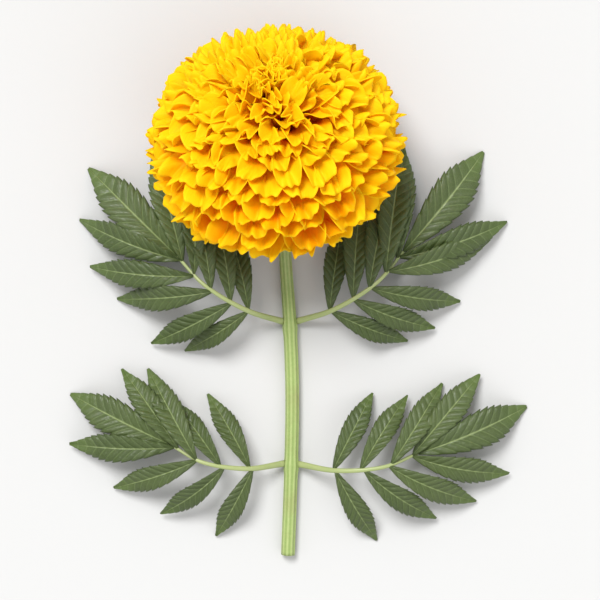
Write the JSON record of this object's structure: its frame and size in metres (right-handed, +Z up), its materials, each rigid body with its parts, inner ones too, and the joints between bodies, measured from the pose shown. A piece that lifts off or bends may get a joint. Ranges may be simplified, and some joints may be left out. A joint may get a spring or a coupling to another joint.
{
  "type": "marigold flower",
  "caption": "Fully double golden African marigold, picked and laid on a surface, with its green bract cup, bent neck, cut stem and feather-shaped leaves.",
  "frame": {"origin": "centre of the footprint of the whole flower as it lies, on the surface it lies on", "axes": "+Y along the stem from its cut end towards the head, +X to the right seen from above, +Z up"},
  "size_m": [0.1666, 0.1916, 0.0725],
  "materials": {
    "outer_petals": "soft, slightly satin petal",
    "inner_petals": "soft, slightly satin petal",
    "bract_cup": "satin, ribbed and dotted with glands",
    "stem": "satin, finely ridged",
    "leaves": "satin with a greyish sheen, veined"
  },
  "bodies": {
    "root": {"petal_row01_01": "outer_petals", "petal_row01_02": "outer_petals", "petal_row01_03": "outer_petals", "petal_row01_04": "outer_petals", "petal_row01_05": "outer_petals", "petal_row01_06": "outer_petals", "petal_row01_07": "outer_petals", "petal_row01_08": "outer_petals", "petal_row01_09": "outer_petals", "petal_row01_10": "outer_petals", "petal_row01_11": "outer_petals", "petal_row01_12": "outer_petals", "petal_row01_13": "outer_petals", "petal_row01_14": "outer_petals", "petal_row01_15": "outer_petals", "petal_row01_16": "outer_petals", "petal_row01_17": "outer_petals", "petal_row01_18": "outer_petals", "petal_row02_01": "outer_petals", "petal_row02_02": "outer_petals", "petal_row02_03": "outer_petals", "petal_row02_04": "outer_petals", "petal_row02_05": "outer_petals", "petal_row02_06": "outer_petals", "petal_row02_07": "outer_petals", "petal_row02_08": "outer_petals", "petal_row02_09": "outer_petals", "petal_row02_10": "outer_petals", "petal_row02_11": "outer_petals", "petal_row02_12": "outer_petals", "petal_row02_13": "outer_petals", "petal_row02_14": "outer_petals", "petal_row02_15": "outer_petals", "petal_row02_16": "outer_petals", "petal_row02_17": "outer_petals", "petal_row02_18": "outer_petals", "petal_row02_19": "outer_petals", "petal_row02_20": "outer_petals", "petal_whorl_03": "inner_petals", "petal_whorl_04": "inner_petals", "petal_whorl_05": "inner_petals", "petal_whorl_06": "inner_petals", "petal_whorl_07": "inner_petals", "petal_whorl_08": "inner_petals", "petal_whorl_09": "inner_petals", "petal_whorl_10": "inner_petals", "bract_cup": "bract_cup", "stem": "stem", "leaf_upper_left": "leaves", "leaf_upper_right": "leaves", "leaf_lower_left": "leaves", "leaf_lower_right": "leaves"}
  },
  "joints": []
}
